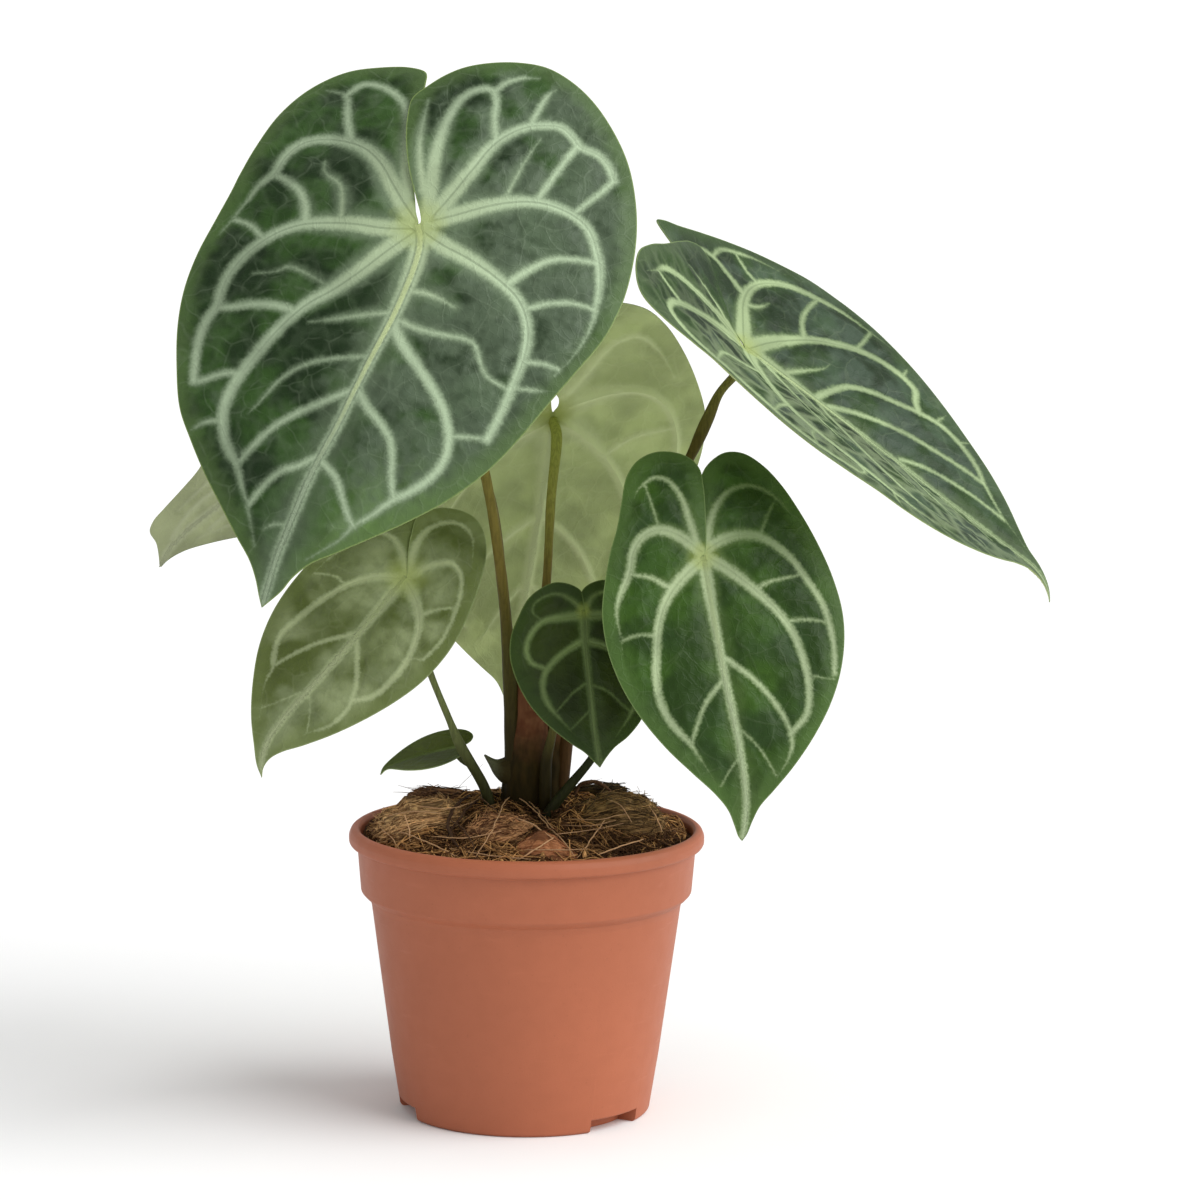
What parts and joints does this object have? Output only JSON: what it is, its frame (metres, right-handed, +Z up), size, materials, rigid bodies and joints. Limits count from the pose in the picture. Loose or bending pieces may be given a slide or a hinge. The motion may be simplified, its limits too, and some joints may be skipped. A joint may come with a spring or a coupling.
{
  "type": "potted anthurium",
  "caption": "Small houseplant with broad heart-shaped, silver-veined leaves on thin stalks, in a round tapered nursery pot.",
  "frame": {"origin": "middle of the pot's base, on the surface it stands on", "axes": "+Z up, front of the plant towards -Y, the big top leaf hangs to -X"},
  "size_m": [0.3064, 0.1672, 0.3536],
  "materials": {
    "pot_plastic": "terracotta-coloured moulded plastic, faint sheen",
    "potting_mix": "dark damp potting mix",
    "coir": "coarse coconut coir, fibrous and dry",
    "husk": "coconut husk chips, fibrous",
    "stem": "dark green-brown stem with dry leaf sheaths",
    "stalk": "green to reddish brown leaf stalks, satin",
    "leaf": "velvety dark green blade with silver-green veins",
    "leaf_underside": "dull yellow-green underside of a blade"
  },
  "bodies": {
    "root": {"pot": "pot_plastic", "potting_mix": "potting_mix", "coir_mulch": "coir", "husk_chip_left": "husk", "husk_chip_left_back": "husk", "husk_chip_middle": "husk", "husk_chip_angular": "husk", "husk_chip_right": "husk", "husk_chip_right_back": "husk", "stem": "stem", "stalk_large_left": "stalk", "stalk_top_right": "stalk", "stalk_front_right": "stalk", "stalk_front_centre": "stalk", "stalk_lower_left": "stalk", "stalk_back_centre": "stalk", "stalk_back_left": "stalk", "stalk_young": "stalk", "leaf_large_left": "leaf", "leaf_top_right": "leaf", "leaf_front_right": "leaf", "leaf_front_centre": "leaf", "leaf_lower_left": "leaf", "leaf_back_centre": "leaf_underside", "leaf_back_left": "leaf_underside", "leaf_young": "leaf"}
  },
  "joints": []
}
